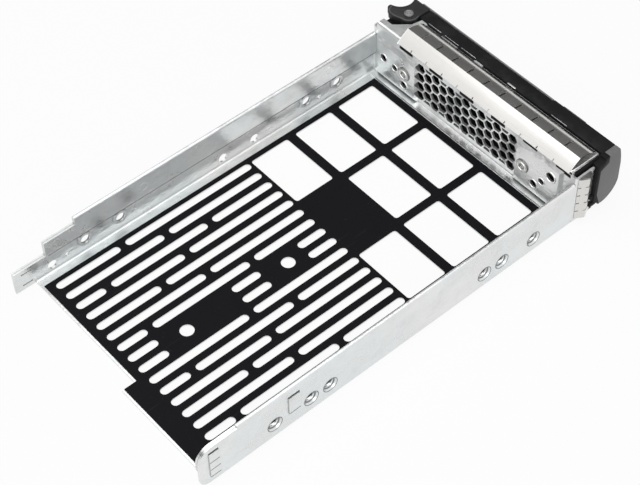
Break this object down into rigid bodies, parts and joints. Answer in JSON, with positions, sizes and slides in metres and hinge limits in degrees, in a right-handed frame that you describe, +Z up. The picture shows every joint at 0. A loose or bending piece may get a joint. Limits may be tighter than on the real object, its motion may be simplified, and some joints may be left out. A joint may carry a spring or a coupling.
{
  "type": "hot swap drive caddy",
  "caption": "Steel drive caddy with slotted floor, honeycomb front wall, grounding spring fingers and a black bezel with a swing-out locking lever.",
  "frame": {"origin": "underside of the tray, midway between the side walls, below the rear face of the raised pads on the front wall", "axes": "+Z up, -Y towards the front bezel, +Y towards the connector end, +X to the right seen from the front (the lever's pin end)"},
  "size_m": [0.1094, 0.1895, 0.0295],
  "materials": {
    "tray_steel": "zinc coated sheet steel, semi-bright",
    "film": "black insulating film, satin",
    "frame_steel": "zinc coated sheet steel, semi-bright",
    "spring_steel": "bright stainless spring sheet",
    "bezel_black": "black moulded plastic, fine texture",
    "cap_grey": "mid grey moulded plastic",
    "lever_dark": "dark grey moulded plastic",
    "fascia_grey": "light grey moulded plastic",
    "pin_steel": "plain steel",
    "wire_steel": "spring wire",
    "button_grey": "grey moulded plastic",
    "light_pipe": "clear moulded plastic",
    "rivet_steel": "plain steel"
  },
  "bodies": {
    "caddy": {"tray": "tray_steel", "floor_film": "film", "front_frame": "frame_steel", "top_spring_strip": "spring_steel", "side_spring_strip": "spring_steel", "bezel_housing": "bezel_black", "end_cap": "cap_grey", "lever_pin": "pin_steel", "lever_spring": "wire_steel", "button_spring": "wire_steel", "light_pipe_inner": "light_pipe", "light_pipe_outer": "light_pipe", "rivet_right": "rivet_steel", "rivet_left": "rivet_steel"},
    "lever_arm": {"lever": "lever_dark", "lever_fascia": "fascia_grey"},
    "button": {"release_button": "button_grey"}
  },
  "joints": [
    {"name": "lever_hinge", "type": "hinge", "parent": "caddy", "child": "lever_arm", "pos_m": [0.046, -0.0132, 0.0144], "axis": [0, 0, 1], "range_deg": [0, 50]},
    {"name": "release_button_slide", "type": "slide", "parent": "caddy", "child": "button", "axis": [0, 1, 0], "range_m": [0, 0.002], "stiffness_N_per_m": 300, "springref_m": -0.002, "deforming": ["button_spring"]}
  ]
}
